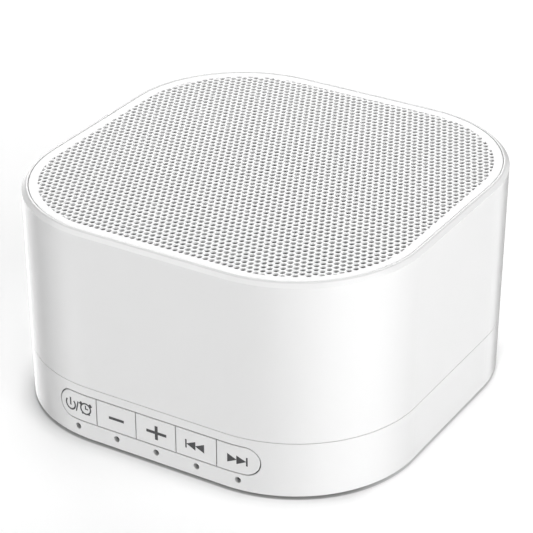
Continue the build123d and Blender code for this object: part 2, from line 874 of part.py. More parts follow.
def basket_window():
    """Wedge that opens the cup between two of its legs."""
    low = shelf_z + basket_window_margin
    high = flange_z - flange_thickness - basket_window_margin
    reach = 2 * speaker_half
    half = math.radians(basket_window_angle / 2)
    tip = (0, 0)
    left = (reach * math.cos(half), reach * math.sin(half))
    right = (reach * math.cos(half), -reach * math.sin(half))
    wedge = Plane.XY.offset(low) * make_face(Polyline(tip, right, left, close=True))
    keep = rod(0, 0, low - cut, high + cut, 2 * (basket_foot_radius - basket_wall))
    return extrude(wedge, amount=high - low) - keep


def speaker_surround():
    """Half roll between the cone's rim and its flat land on the flange."""
    middle = (surround_inner_radius + surround_outer_radius) / 2
    roll = (surround_outer_radius - surround_inner_radius) / 2
    top = flange_z + surround_thickness
    land = surround_inner_radius - cone_rim_width
    outer_arc = ThreePointArc((middle - roll, top), (middle, top + roll), (middle + roll, top))
    thin = roll - surround_thickness
    inner_arc = ThreePointArc((middle - thin, flange_z), (middle, flange_z + thin + surround_thickness),
                              (middle + thin, flange_z))
    edges = [
        outer_arc,
        Line((middle + roll, top), (surround_land_radius, top)),
        Line((surround_land_radius, top), (surround_land_radius, flange_z)),
        Line((surround_land_radius, flange_z), (middle + thin, flange_z)),
        inner_arc,
        Line((middle - thin, flange_z), (land, flange_z)),
        Line((land, flange_z), (land, top)),
        Line((land, top), (middle - roll, top)),
    ]
    return revolve(Plane.XZ * make_face(edges), axis=Axis.Z)


def cone_upper_face():
    """Inner and outer end of the cone's upper face, as (radius, height)."""
    inner = (coil_radius + neck_collar - cone_thickness, coil_top_z + neck_collar + cone_thickness / 2)
    outer = (surround_inner_radius - cone_rim_width - cone_thickness, flange_z - cone_thickness / 2)
    return inner, outer


def cone_upper_height(radius):
    (inner_radius, inner_z), (outer_radius, outer_z) = cone_upper_face()
    return inner_z + (outer_z - inner_z) * (radius - inner_radius) / (outer_radius - inner_radius)


def speaker_cone():
    neck_in = coil_radius - coil_wall
    neck_out = coil_radius + neck_collar
    rim_in = surround_inner_radius - cone_rim_width
    low = coil_top_z + neck_collar
    rim_low = flange_z - cone_thickness
    upper_inner, upper_outer = cone_upper_face()
    return turned([
        (neck_in, coil_top_z),
        (neck_out - cone_thickness / 2, coil_top_z),
        (neck_out, low),
        (rim_in, rim_low),
        (surround_inner_radius, rim_low),
        (surround_inner_radius, flange_z),
        (rim_in, flange_z),
        upper_outer,
        upper_inner,
        (neck_in, low),
    ])


def dust_cap():
    """Dome glued on the cone, over the coil."""
    seat = cone_upper_height(dust_cap_radius) + glue_gap
    top = seat + dust_cap_height
    outer = ThreePointArc(*dome_points(dust_cap_radius, seat, top))
    inner_radius = dust_cap_radius - dust_cap_thickness
    inner = ThreePointArc(*dome_points(inner_radius, seat, top - dust_cap_thickness))
    edges = [
        outer,
        Line((0, top), (0, top - dust_cap_thickness)),
        inner,
        Line((inner_radius, seat), (dust_cap_radius, seat)),
    ]
    return revolve(Plane.XZ * make_face(edges), axis=Axis.Z)


def dome_points(radius, low, top):
    """Rim, a point on the way and the crown of a spherical dome."""
    height = top - low
    sphere = (radius**2 + height**2) / (2 * height)
    half_angle = math.asin(min(radius / sphere, 1.0)) / 2
    way = (sphere * math.sin(half_angle), top - sphere * (1 - math.cos(half_angle)))
    return (radius, low), way, (0, top)


def voice_coil():
    bottom = basket_z - top_plate_thickness - cone_stroke - coil_margin
    return ring(coil_radius - coil_wall, coil_radius, bottom, coil_top_z)


def speaker_spider():
    """Corrugated disc from the coil to the basket's shelf."""
    inner = coil_radius + glue_gap
    outer = basket_shelf_radius - basket_wall - glue_gap
    first = inner + cone_thickness
    last = basket_foot_radius - basket_wall
    step = (last - first) / (2 * spider_waves)
    upper = [(outer, shelf_z + spider_thickness), (last, shelf_z + spider_thickness)]
    for index in range(2 * spider_waves - 1, 0, -1):
        lift = spider_wave if index % 2 else 0.0
        upper.append((first + index * step, shelf_z + spider_thickness + lift))
    upper += [(first, shelf_z + spider_thickness), (inner, shelf_z + spider_thickness)]
    lower = [(radius, height - spider_thickness) for radius, height in reversed(upper)]
    return turned(upper + lower)


def speaker_top_plate():
    return ring(plate_bore_radius, top_plate_radius, basket_z - top_plate_thickness, basket_z)


def speaker_magnet():
    bore = plate_bore_radius + magnet_bore_step
    return ring(bore, magnet_radius, magnet_z, magnet_z + magnet_thickness)


def speaker_yoke():
    """Back plate with the pole piece that stands inside the coil."""
    plate = rod(0, 0, magnet_z - back_plate_thickness, magnet_z, 2 * top_plate_radius)
    plate = chamfer(plate.edges().group_by(Axis.Z)[0], back_plate_chamfer)
    return plate + rod(0, 0, magnet_z - cut, basket_z, 2 * pole_radius)


def terminal_strip():
    top = flange_z - flange_thickness
    return box_between(-terminal_width / 2, terminal_width / 2, terminal_y,
                       terminal_y + terminal_thickness, top - terminal_height, top)


def terminal_tabs():
    y0 = terminal_y + terminal_thickness
    top = flange_z - flange_thickness - tab_drop
    half = tab_width / 2
    return Compound([box_between(x - half, x + half, y0, y0 + tab_thickness, top - tab_length, top)
                     for x in (-tab_spacing / 2, tab_spacing / 2)])


def speaker_leads():
    """Two insulated wires from the tabs down to the main board."""
    top = flange_z - flange_thickness - tab_drop - tab_length
    bottom = board_top_z + header_height
    y0 = terminal_y + terminal_thickness + tab_thickness / 2
    drop = top - bottom
    leads = []
    for x in (-tab_spacing / 2, tab_spacing / 2):
        points = [(x, y0, top), (x, y0, top - 0.3 * drop), (x, header_y, bottom + 0.3 * drop),
                  (x, header_y, bottom)]
        path = FilletPolyline(*points, radius=0.3 * drop)
        start = Plane(origin=points[0], z_dir=(0, 0, -1))
        leads.append(sweep(start * Circle(lead_diameter / 2), path=path))
    return Compound(leads)


def speaker_screws():
    seat = flange_z - flange_thickness
    length = flange_thickness + gasket_thickness + speaker_screw_bite
    size = (speaker_screw_diameter, speaker_screw_head, speaker_screw_head_height, length)
    return Compound([pan_screw(x, y, seat, *size) for x, y in corners(speaker_hole_spread)])


# ---- Every node, by name ----
foot_names = ["foot_front_left", "foot_rear_left", "foot_front_right", "foot_rear_right"]

nodes = {
    "upper_housing": upper_housing(),
    "base_housing": base_housing(),
    "speaker_grille": speaker_grille(),
    "dust_cloth": dust_cloth(),
    "housing_screws": housing_screws(),
    "key_board": key_board(),
    "light_guide": light_guide(),
    "indicator_leds": indicator_leds(),
    "key_ribbon_socket": key_ribbon_socket(),
    "ribbon_cable": ribbon_cable(),
    "main_ribbon_socket": main_ribbon_socket(),
    "main_board": main_board(),
    "board_screws": board_screws(),
    "sound_chip": sound_chip(),
    "amplifier_chip": amplifier_chip(),
    "capacitors": capacitors(),
    "crystal": crystal(),
    "inductor": inductor(),
    "speaker_header": speaker_header(),
    "usb_c_inlet": usb_c_inlet(),
    "headphone_jack": headphone_jack(),
    "speaker_gasket": speaker_gasket(),
    "speaker_frame": speaker_frame(),
    "speaker_surround": speaker_surround(),
    "speaker_cone": speaker_cone(),
    "dust_cap": dust_cap(),
    "voice_coil": voice_coil(),
    "speaker_spider": speaker_spider(),
    "speaker_top_plate": speaker_top_plate(),
    "speaker_magnet": speaker_magnet(),
    "speaker_yoke": speaker_yoke(),
    "terminal_strip": terminal_strip(),
    "terminal_tabs": terminal_tabs(),
    "speaker_leads": speaker_leads(),
    "speaker_screws": speaker_screws(),
}
for key_index, key_name in enumerate(key_names):
    nodes[key_name + "_key"] = key_cap(key_index)
    nodes[key_name + "_plunger"] = switch_plunger(key_index)
    nodes[key_name + "_switch"] = tact_switch(key_index)
for foot_name, foot_place in zip(foot_names, corners(boss_spread)):
    nodes[foot_name] = rubber_foot(*foot_place)

os.makedirs("parts", exist_ok=True)
for node_name, node_shape in nodes.items():
    export_step(node_shape, f"parts/{node_name}.step")
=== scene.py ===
"""White noise sound machine: finishes, fine perforation, printed key signs and studio."""

import json
import math

import bmesh
import bpy
from mathutils import Matrix, Vector
from mathutils.geometry import delaunay_2d_cdt

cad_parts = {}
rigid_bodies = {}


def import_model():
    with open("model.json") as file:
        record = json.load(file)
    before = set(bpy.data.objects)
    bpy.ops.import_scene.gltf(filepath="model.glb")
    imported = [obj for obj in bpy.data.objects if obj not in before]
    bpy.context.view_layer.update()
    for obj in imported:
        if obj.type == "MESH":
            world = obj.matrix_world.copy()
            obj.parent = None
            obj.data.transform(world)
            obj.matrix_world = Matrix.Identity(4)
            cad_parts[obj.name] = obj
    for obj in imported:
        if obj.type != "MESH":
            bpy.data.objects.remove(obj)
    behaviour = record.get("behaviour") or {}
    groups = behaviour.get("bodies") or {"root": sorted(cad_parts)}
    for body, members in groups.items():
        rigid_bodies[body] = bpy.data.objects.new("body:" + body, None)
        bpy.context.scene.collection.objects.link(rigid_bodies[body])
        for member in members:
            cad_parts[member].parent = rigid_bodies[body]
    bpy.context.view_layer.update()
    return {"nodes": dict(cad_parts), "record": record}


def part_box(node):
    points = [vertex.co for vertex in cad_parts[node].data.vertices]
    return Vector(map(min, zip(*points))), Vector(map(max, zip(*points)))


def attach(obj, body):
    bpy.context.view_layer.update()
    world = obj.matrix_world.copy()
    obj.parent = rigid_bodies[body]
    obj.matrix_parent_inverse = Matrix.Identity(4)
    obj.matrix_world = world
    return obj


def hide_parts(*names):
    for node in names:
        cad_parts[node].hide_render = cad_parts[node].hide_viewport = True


for startup_object in list(bpy.data.objects):
    bpy.data.objects.remove(startup_object)

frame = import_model()

MM = 0.001

# ---- Housing; all sizes are in millimetres ----
BODY_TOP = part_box("upper_housing")[1].z / MM
BODY_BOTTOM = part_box("base_housing")[0].z / MM
BODY_HALF = 50.75              # half width at the top edge
CORNER_RADIUS = 32.1           # of the outline at the top edge
DRAFT = math.tan(math.radians(0.56))
LIP_LEVEL = 54.8               # where the wall turns into the lip's chamfer
LIP_BLEND = 0.05               # above and below that level, where the wall's tone turns into the lip's, which is painted a little lighter, a painted light
LIP_TOP_SHADE_BAND = (0.3, 0.1)       # down from the top of the lip: where its painted shade sets in, and is full
SEAM_DEPTH = (0.1, 0.35, 1.9)  # behind the outer face: where the painted shade of seams and small holes sets in, is full, and ends

# ---- Grille ----
GRILLE_LOW, GRILLE_HIGH = (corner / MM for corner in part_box("speaker_grille"))
GRILLE_RADIUS = CORNER_RADIUS - (BODY_HALF - GRILLE_HIGH.x)
SHEET = 0.4                    # thickness of the steel
FOLD = 0.15                    # outside radius of the sheet's folded edge
FOLD_STEPS = 6
GRILLE_CORNER_STEPS = 24
HOLE_PITCH = 1.6               # along a row, and from row to row
HOLE_RADIUS = 0.66
HOLE_SIDES = 12
FIELD_MIDDLE = (0.18, -0.31)   # the perforated field isn't quite centred on the sheet
FIRST_HOLE = (-0.343, 0.416)   # from the middle of the field
FIELD_BORDER = 2.2             # plain metal round the perforated field
HOLE_LOSS = 0.3                # a hole whose middle is this far outside the field is left out

# ---- Cloth under the grille ----
CLOTH_CELL = 2.5               # between the points that shape it
CLOTH_CORNER_STEPS = 16
CLOTH_SAG = 0.12               # at the middle
CLOTH_RIPPLE = 0.2             # share of the sag that comes and goes in faint ripples
RIPPLES = (0.31, 0.27)         # radians of ripple in a millimetre, along X and along Y
CLOTH_THICKNESS = 0.22

# ---- Printed signs on the keys ----
SIGN_LEVEL = 8.87              # above the ground
RING_STEPS = 28                # faces round a ring
INK_PROUD = 0.012              # of the key's face
INK_DEPTH = 0.03               # thickness of the film, whose inner side lies in the plastic
INK_MESH = 0.5                 # longest edge, so that the ink follows the curved keys
INK_CUTS = 3                   # times that edges longer than that are halved

# ---- Flat meshes ----
FILL_INSIDE = 1                # the kind of triangulation that fills what its edges enclose
SHEET_WELD = 1e-5              # points as near as this are one
SIGN_WELD = 1e-4               # the same for the strokes of a sign, which overlap


def wall_half(z):
    """Half of the housing's width at a height."""
    return BODY_HALF - (BODY_TOP - z) * DRAFT


def wall_radius(z):
    """Radius of the housing's corners at a height."""
    return CORNER_RADIUS - (BODY_TOP - z) * DRAFT


def wall_y(x, z):
    """Distance of the wall from the middle plane, along Y."""
    radius = wall_radius(z)
    flat = wall_half(z) - radius
    beyond = max(abs(x) - flat, 0.0)
    return flat + math.sqrt(max(radius**2 - beyond**2, 0.0))


# ---- Node trees ----
WAVE_BANDS = 3.2                          # of a wave texture, in one unit of its scale
MIX_UNDER, MIX_OVER, MIXED = 6, 7, 2      # colour sockets of a mix node, which share their names with others


def linear(hex_code):
    """Linear colour from an sRGB hex code."""
    channels = [int(hex_code[i:i + 2], 16) / 255 for i in (1, 3, 5)]
    values = [c / 12.92 if c <= 0.04045 else ((c + 0.055) / 1.055) ** 2.4 for c in channels]
    return (*values, 1.0)


def add(tree, kind, inputs=None, **settings):
    """Adds a node; inputs maps its sockets to values or to the sockets that feed them."""
    node = tree.nodes.new(kind)
    for name, value in settings.items():
        setattr(node, name, value)
    for socket, value in (inputs or {}).items():
        if isinstance(value, bpy.types.NodeSocket):
            tree.links.new(value, node.inputs[socket])
        else:
            node.inputs[socket].default_value = value
    return node


def start_finish(name, colour, roughness, **sockets):
    """New material with a principled shader; returns (material, tree, shader, position).
    Further sockets of the shader are named with _ in place of a space."""
    material = bpy.data.materials.new(name)
    material.use_nodes = True
    tree = material.node_tree
    shader = tree.nodes["Principled BSDF"]
    shader.inputs["Base Color"].default_value = linear(colour)
    shader.inputs["Roughness"].default_value = roughness
    for socket, value in sockets.items():
        shader.inputs[socket.replace("_", " ")].default_value = value
    position = add(tree, "ShaderNodeTexCoord").outputs["Object"]
    return material, tree, shader, position


def per_metre(size_mm):
    """Texture scale that repeats about once in that many millimetres."""
    return 1 / (size_mm * MM)


def bands_apart(size_mm):
    """Wave texture scale whose bands are that many millimetres apart."""
    return per_metre(size_mm) / WAVE_BANDS


def press_grain(tree, shader, position, size_mm, height_mm, detail=2.0):
    """Fine relief of a moulded, coated or cast surface; returns its pattern."""
    noise = add(tree, "ShaderNodeTexNoise",
                {"Vector": position, "Scale": per_metre(size_mm), "Detail": detail, "Roughness": 0.5})
    bump = add(tree, "ShaderNodeBump", {"Height": noise.outputs["Fac"], "Distance": height_mm * MM})
    tree.links.new(bump.outputs["Normal"], shader.inputs["Normal"])
    return noise.outputs["Fac"]


def layered_colour(tree, base, *layers):
    """Colour built up from hex colours: each layer (cover, colour) hides the last where its cover is 1."""
    colour = linear(base)
    for cover, layer in layers:
        mix = add(tree, "ShaderNodeMix", {"Factor": cover, MIX_UNDER: colour, MIX_OVER: linear(layer)},
                  data_type="RGBA")
        colour = mix.outputs[MIXED]
    return colour


def vary_colour(tree, shader, pattern, dark, light):
    """Base colour that wanders between two hex colours."""
    tree.links.new(layered_colour(tree, dark, (pattern, light)), shader.inputs["Base Color"])


def vary_roughness(tree, shader, pattern, low, high):
    """Roughness that wanders between two values."""
    spread = add(tree, "ShaderNodeMapRange", {"Value": pattern, "To Min": low, "To Max": high})
    tree.links.new(spread.outputs["Result"], shader.inputs["Roughness"])


def beyond_flats(tree, position):
    """Distance from the line that the round corners turn about; equals the radius on the outer face."""
    flat = (BODY_HALF - CORNER_RADIUS) * MM
    folded = add(tree, "ShaderNodeVectorMath", {0: position}, operation="ABSOLUTE")
    beyond = add(tree, "ShaderNodeVectorMath", {0: folded.outputs[0], 1: (flat, flat, 1.0)},
                 operation="SUBTRACT")
    outward = add(tree, "ShaderNodeVectorMath", {0: beyond.outputs[0], 1: (0.0, 0.0, 0.0)},
                  operation="MAXIMUM")
    return add(tree, "ShaderNodeVectorMath", {0: outward.outputs[0]}, operation="LENGTH").outputs["Value"]


def in_seam(tree, position, height):
    """1 on what lies just behind the housing's outer face, as the walls of a seam or a small hole do. The
    shell is painted darker there, a painted shade.
    """
    outer = add(tree, "ShaderNodeMath", {0: height, 1: DRAFT, 2: wall_radius(0) * MM},
                operation="MULTIPLY_ADD")
    depth = add(tree, "ShaderNodeMath", {0: outer.outputs[0], 1: beyond_flats(tree, position)},
                operation="SUBTRACT")
    enter = add(tree, "ShaderNodeMapRange", {"Value": depth.outputs[0], "From Min": SEAM_DEPTH[0] * MM,
                                             "From Max": SEAM_DEPTH[1] * MM})
    leave = add(tree, "ShaderNodeMath", {0: depth.outputs[0], 1: SEAM_DEPTH[2] * MM},
                operation="LESS_THAN")
    return add(tree, "ShaderNodeMath", {0: enter.outputs["Result"], 1: leave.outputs[0]},
               operation="MULTIPLY").outputs[0]


# ---- Finishes ----
def spark_textured_abs():
    """White ABS from a finely spark-eroded mould: even, with a satin sheen that is strongest at a low angle.
    The real grain of about 0.1 mm is too fine to show, so it is drawn at 0.3 mm. The tone wanders
    faintly over some 28 mm, as the melt flowed. Below the lip, the walls of seams and small holes are
    painted greyer, a painted shade, and so is the top of the lip; the rest of the lip above the wall is
    painted a little lighter than the wall, a painted light."""
    material, tree, shader, position = start_finish("spark_textured_abs", "#E8E8E8",
                                                    roughness=0.22, IOR=1.54)
    grain = press_grain(tree, shader, position, size_mm=0.3, height_mm=0.004)
    vary_roughness(tree, shader, grain, low=0.2, high=0.24)
    flow = add(tree, "ShaderNodeTexNoise", {"Vector": position, "Scale": per_metre(28), "Detail": 1.0})
    height = add(tree, "ShaderNodeSeparateXYZ", {"Vector": position}).outputs["Z"]
    # Painted light: from the lip level up, the shell is painted a little lighter than the wall
    on_lip = add(tree, "ShaderNodeMapRange", {"Value": height, "From Min": (LIP_LEVEL - LIP_BLEND) * MM,
                                              "From Max": (LIP_LEVEL + LIP_BLEND) * MM}).outputs["Result"]
    below_lip = add(tree, "ShaderNodeMath", {0: 1.0, 1: on_lip}, operation="SUBTRACT")
    # Painted shade: below the lip, the walls of seams and small holes are painted greyer
    seam_painted_shade = add(tree, "ShaderNodeMath", {0: below_lip.outputs[0], 1: in_seam(tree, position, height)},
                operation="MULTIPLY")
    # Painted shade: the top of the lip is painted greyer
    lip_top_painted_shade = add(tree, "ShaderNodeMapRange", {"Value": height,
                                              "From Min": (BODY_TOP - LIP_TOP_SHADE_BAND[0]) * MM,
                                              "From Max": (BODY_TOP - LIP_TOP_SHADE_BAND[1]) * MM})
    colour = layered_colour(tree, "#E7E7E7", (flow.outputs["Fac"], "#E9E9E9"), (on_lip, "#EAEAEA"),
                            (seam_painted_shade.outputs[0], "#C6C6C6"), (lip_top_painted_shade.outputs["Result"], "#D8D8D8"))
    tree.links.new(colour, shader.inputs["Base Color"])
    return material


def powder_coated_steel():
    """Punched steel sheet under white polyester powder, which levels to a faint orange peel."""
    material, tree, shader, position = start_finish("powder_coated_steel", "#F4F4F4",
                                                    roughness=0.46, IOR=1.5)
    peel = press_grain(tree, shader, position, size_mm=0.9, height_mm=0.006)
    vary_colour(tree, shader, peel, "#F3F3F3", "#F5F5F5")
    return material


def scrim_cloth():
    """Black acoustic scrim in plain weave, threads 0.35 mm apart."""
    material, tree, shader, position = start_finish("scrim_cloth", "#2B2B2D",
                                                    roughness=0.92, Sheen_Weight=0.2)
    threads = []
    for axis in ("X", "Y"):
        wave = add(tree, "ShaderNodeTexWave", {"Vector": position, "Scale": bands_apart(0.35)},
                   bands_direction=axis)
        threads.append(wave.outputs["Fac"])
    weave = add(tree, "ShaderNodeMath", {0: threads[0], 1: threads[1]}, operation="MAXIMUM").outputs[0]
    bump = add(tree, "ShaderNodeBump", {"Height": weave, "Distance": 0.08 * MM})
    tree.links.new(bump.outputs["Normal"], shader.inputs["Normal"])
    vary_colour(tree, shader, weave, "#141415", "#39393B")
    return material


def screen_printed_ink():
    """Dark grey screen-printed ink: flat, opaque, a little duller than the plastic under it."""
    material, tree, shader, position = start_finish("screen_printed_ink", "#414143", roughness=0.6)
    mottle = press_grain(tree, shader, position, size_mm=0.25, height_mm=0.002)
    vary_colour(tree, shader, mottle, "#3E3E40", "#454547")
    return material


def shade_tinted_polycarbonate():
    """Light guide of polycarbonate: with its lamps off it shows the dark behind it, and its grey tint is a
    painted shade that makes the indicator holes darker still.
    """
    material, tree, shader, position = start_finish("shade_tinted_polycarbonate", "#8E8E8D",
                                                    roughness=0.12, IOR=1.58,
                                                    Transmission_Weight=1.0)
    press_grain(tree, shader, position, size_mm=0.4, height_mm=0.01)
    return material


def lamp_epoxy():
    """Pale epoxy over the lamp's phosphor."""
    material, tree, shader, position = start_finish("lamp_epoxy", "#E8DFA8", roughness=0.3)
    press_grain(tree, shader, position, size_mm=0.3, height_mm=0.005)
    return material


def moulded_rubber():
    """Black rubber feet from a blasted mould, dull with a grey bloom."""
    material, tree, shader, position = start_finish("moulded_rubber", "#1C1C1D", roughness=0.82)
    bloom = press_grain(tree, shader, position, size_mm=0.5, height_mm=0.02)
    vary_colour(tree, shader, bloom, "#171718", "#262627")
    return material


def closed_cell_foam():
    """Black foam gasket with cells about 0.4 mm across."""
    material, tree, shader, position = start_finish("closed_cell_foam", "#1A1A1A", roughness=0.95)
    cells = add(tree, "ShaderNodeTexVoronoi", {"Vector": position, "Scale": per_metre(0.4)})
    bump = add(tree, "ShaderNodeBump", {"Height": cells.outputs["Distance"], "Distance": 0.1 * MM})
    tree.links.new(bump.outputs["Normal"], shader.inputs["Normal"])
    return material


def butyl_rubber():
    """Soft surround roll, smooth and slightly greasy."""
    material, tree, shader, position = start_finish("butyl_rubber", "#161617", roughness=0.5)
    press_grain(tree, shader, position, size_mm=0.8, height_mm=0.01)
    return material


def pressed_pulp():
    """Cone of felted paper pulp, with short fibres showing."""
    material, tree, shader, position = start_finish("pressed_pulp", "#2A2927", roughness=0.93)
    fibres = press_grain(tree, shader, position, size_mm=0.6, height_mm=0.05, detail=6.0)
    vary_colour(tree, shader, fibres, "#1E1D1C", "#3A3835")
    return material


def resin_cloth():
    """Spider of cotton stiffened with resin, threads 0.5 mm apart."""
    material, tree, shader, position = start_finish("resin_cloth", "#C79A4B", roughness=0.7)
    weave = add(tree, "ShaderNodeTexWave", {"Vector": position, "Scale": bands_apart(0.5),
                                            "Distortion": 1.0}).outputs["Fac"]
    bump = add(tree, "ShaderNodeBump", {"Height": weave, "Distance": 0.06 * MM})
    tree.links.new(bump.outputs["Normal"], shader.inputs["Normal"])
    vary_colour(tree, shader, weave, "#B78A3E", "#D3A95C")
    return material


def enamelled_copper():
    """Voice coil: copper wire under amber enamel, wound in turns 0.3 mm apart."""
    material, tree, shader, position = start_finish("enamelled_copper", "#C26A35",
                                                    roughness=0.32, Metallic=1.0)
    turns = add(tree, "ShaderNodeTexWave", {"Vector": position, "Scale": bands_apart(0.3)},
                bands_direction="Z")
    bump = add(tree, "ShaderNodeBump", {"Height": turns.outputs["Fac"], "Distance": 0.08 * MM})
    tree.links.new(bump.outputs["Normal"], shader.inputs["Normal"])
    return material


def black_coated_steel():
    """Pressed speaker basket under thin black paint."""
    material, tree, shader, position = start_finish("black_coated_steel", "#202021", roughness=0.42)
    press_grain(tree, shader, position, size_mm=1.2, height_mm=0.01)
    return material


def sintered_ferrite():
    """Ferrite ring: dark, dry and slightly pitted."""
    material, tree, shader, position = start_finish("sintered_ferrite", "#3A3A3C", roughness=0.75)
    pits = press_grain(tree, shader, position, size_mm=0.5, height_mm=0.03, detail=4.0)
    vary_colour(tree, shader, pits, "#303032", "#454547")
    return material


def zinc_plated_steel():
    """Plated screws and plates: a pale metal with a faint yellow and fine tumbling marks."""
    material, tree, shader, position = start_finish("zinc_plated_steel", "#C9C8C2",
                                                    roughness=0.34, Metallic=1.0)
    marks = press_grain(tree, shader, position, size_mm=0.4, height_mm=0.004)
    vary_roughness(tree, shader, marks, low=0.28, high=0.42)
    return material


def nickel_plated_shell():
    """Drawn steel shell of the power inlet, bright nickel with fine draw lines."""
    material, tree, shader, position = start_finish("nickel_plated_shell", "#CFCDC8",
                                                    roughness=0.26, Metallic=1.0)
    stretch = add(tree, "ShaderNodeMapping", {"Vector": position, "Scale": (1.0, 0.06, 1.0)})
    lines = add(tree, "ShaderNodeTexNoise", {"Vector": stretch.outputs["Vector"], "Scale": per_metre(0.3)})
    vary_roughness(tree, shader, lines.outputs["Fac"], low=0.2, high=0.36)
    return material


def drawn_aluminium():
    """Cans of the capacitors and crystal, satin with fine lines round them."""
    material, tree, shader, position = start_finish("drawn_aluminium", "#D5D6D8",
                                                    roughness=0.33, Metallic=1.0)
    marks = press_grain(tree, shader, position, size_mm=0.4, height_mm=0.004)
    vary_roughness(tree, shader, marks, low=0.27, high=0.4)
    return material


def solder_resist_board():
    """Glass-fibre board under green resist, with the cloth's 0.5 mm weave just visible."""
    material, tree, shader, position = start_finish("solder_resist_board", "#14603A", roughness=0.32)
    weave = add(tree, "ShaderNodeTexWave", {"Vector": position, "Scale": bands_apart(0.5)})
    vary_colour(tree, shader, weave.outputs["Fac"], "#125A36", "#176740")
    return material


def transfer_moulded_epoxy():
    """Black epoxy of chips and switch bodies, finely blasted."""
    material, tree, shader, position = start_finish("transfer_moulded_epoxy", "#1B1B1C", roughness=0.62)
    press_grain(tree, shader, position, size_mm=0.25, height_mm=0.006)
    return material


def glass_filled_nylon():
    """Black nylon of the headphone socket, with glass fibres that leave it a little streaky."""
    material, tree, shader, position = start_finish("glass_filled_nylon", "#1E1E1F", roughness=0.5)
    streaks = press_grain(tree, shader, position, size_mm=0.7, height_mm=0.008, detail=3.0)
    vary_colour(tree, shader, streaks, "#1A1A1B", "#252526")
    return material


def natural_nylon():
    """Cream nylon of the small board sockets."""
    material, tree, shader, position = start_finish("natural_nylon", "#E4DFCC", roughness=0.48)
    press_grain(tree, shader, position, size_mm=0.4, height_mm=0.006)
    return material


def flat_cable_film():
    """White polyester film with conductors 1 mm apart showing through."""
    material, tree, shader, position = start_finish("flat_cable_film", "#E7E7E3", roughness=0.35)
    lines = add(tree, "ShaderNodeTexWave", {"Vector": position, "Scale": bands_apart(1.0)},
                bands_direction="X")
    vary_colour(tree, shader, lines.outputs["Fac"], "#D2D0C6", "#EDEDEA")
    return material


def vulcanised_fibre():
    """Red-brown fibre strip that carries the speaker's terminals."""
    material, tree, shader, position = start_finish("vulcanised_fibre", "#7A3B22", roughness=0.7)
    fibres = press_grain(tree, shader, position, size_mm=0.4, height_mm=0.02, detail=4.0)
    vary_colour(tree, shader, fibres, "#6C331D", "#87452A")
    return material


def tinned_brass():
    """Stamped brass tabs under a thin coat of tin."""
    material, tree, shader, position = start_finish("tinned_brass", "#CDBF93", roughness=0.36, Metallic=1.0)
    press_grain(tree, shader, position, size_mm=0.4, height_mm=0.006)
    return material


def extruded_pvc():
    """Red insulation of the speaker leads, smooth with a soft shine."""
    material, tree, shader, position = start_finish("extruded_pvc", "#B3211C", roughness=0.38)
    press_grain(tree, shader, position, size_mm=1.0, height_mm=0.006)
    return material


FINISH_OF_SLOT = {
    "white_shell": spark_textured_abs,
    "white_metal": powder_coated_steel,
    "black_cloth": scrim_cloth,
    "steel_screw": zinc_plated_steel,
    "green_board": solder_resist_board,
    "clear_guide": shade_tinted_polycarbonate,
    "led_white": lamp_epoxy,
    "socket_plastic": natural_nylon,
    "ribbon_white": flat_cable_film,
    "chip_black": transfer_moulded_epoxy,
    "can_metal": drawn_aluminium,
    "switch_plunger": glass_filled_nylon,
    "inlet_steel": nickel_plated_shell,
    "gasket_foam": closed_cell_foam,
    "basket_steel": black_coated_steel,
    "surround_rubber": butyl_rubber,
    "cone_paper": pressed_pulp,
    "coil_copper": enamelled_copper,
    "spider_cloth": resin_cloth,
    "plate_steel": zinc_plated_steel,
    "magnet_ferrite": sintered_ferrite,
    "terminal_fibre": vulcanised_fibre,
    "terminal_brass": tinned_brass,
    "lead_vinyl": extruded_pvc,
    "foot_rubber": moulded_rubber,
}
finishes = {}


def finish(maker):
    """The one material that a maker function gives, made on first use."""
    if maker not in finishes:
        finishes[maker] = maker()
    return finishes[maker]


def dress(piece, material):
    """Gives a piece that one material."""
    piece.data.materials.clear()
    piece.data.materials.append(material)


def dress_cad_nodes():
    """Gives every CAD node the finish of its slot in the record, and the headphone socket its own."""
    for subpart in frame["record"]["subparts"]:
        node = frame["nodes"][subpart["node"]]
        dress(node, finish(FINISH_OF_SLOT[subpart["material_slot"]]))
    dress(frame["nodes"]["headphone_jack"], finish(glass_filled_nylon))


# ---- Meshes ----
def new_piece(name, points, faces, material):
    """Mesh object from points in millimetres."""
    mesh = bpy.data.meshes.new(name)
    mesh.from_pydata([Vector(point) * MM for point in points], [], faces)
    mesh.update()
    piece = bpy.data.objects.new(name, mesh)
    bpy.context.scene.collection.objects.link(piece)
    dress(piece, material)
    return piece


def rounded_square(half, radius, steps):
    """Outline of a square with round corners, anticlockwise, as (x, y) points."""
    points = []
    for corner in range(4):
        for step in range(steps + 1):
            angle = math.radians(90 * (corner + step / steps))
            centre_x = (half - radius) * (1 if corner in (0, 3) else -1)
            centre_y = (half - radius) * (1 if corner in (0, 1) else -1)
            points.append((centre_x + radius * math.cos(angle), centre_y + radius * math.sin(angle)))
    return points


def outside_by(x, y, half, radius):
    """How far a point lies outside a round-cornered square; negative inside."""
    beyond_x = abs(x) - (half - radius)
    beyond_y = abs(y) - (half - radius)
    if beyond_x > 0 and beyond_y > 0:
        return math.hypot(beyond_x, beyond_y) - radius
    return max(beyond_x, beyond_y) - radius


def pull_inside(x, y, half, radius):
    """The point itself, or the nearest one on the round-cornered square if it lies outside."""
    excess = outside_by(x, y, half, radius)
    if excess <= 0:
        return x, y
    beyond_x = max(abs(x) - (half - radius), 0.0)
    beyond_y = max(abs(y) - (half - radius), 0.0)
    reach = math.hypot(beyond_x, beyond_y)
    return (math.copysign(abs(x) - excess * beyond_x / reach, x),
            math.copysign(abs(y) - excess * beyond_y / reach, y))


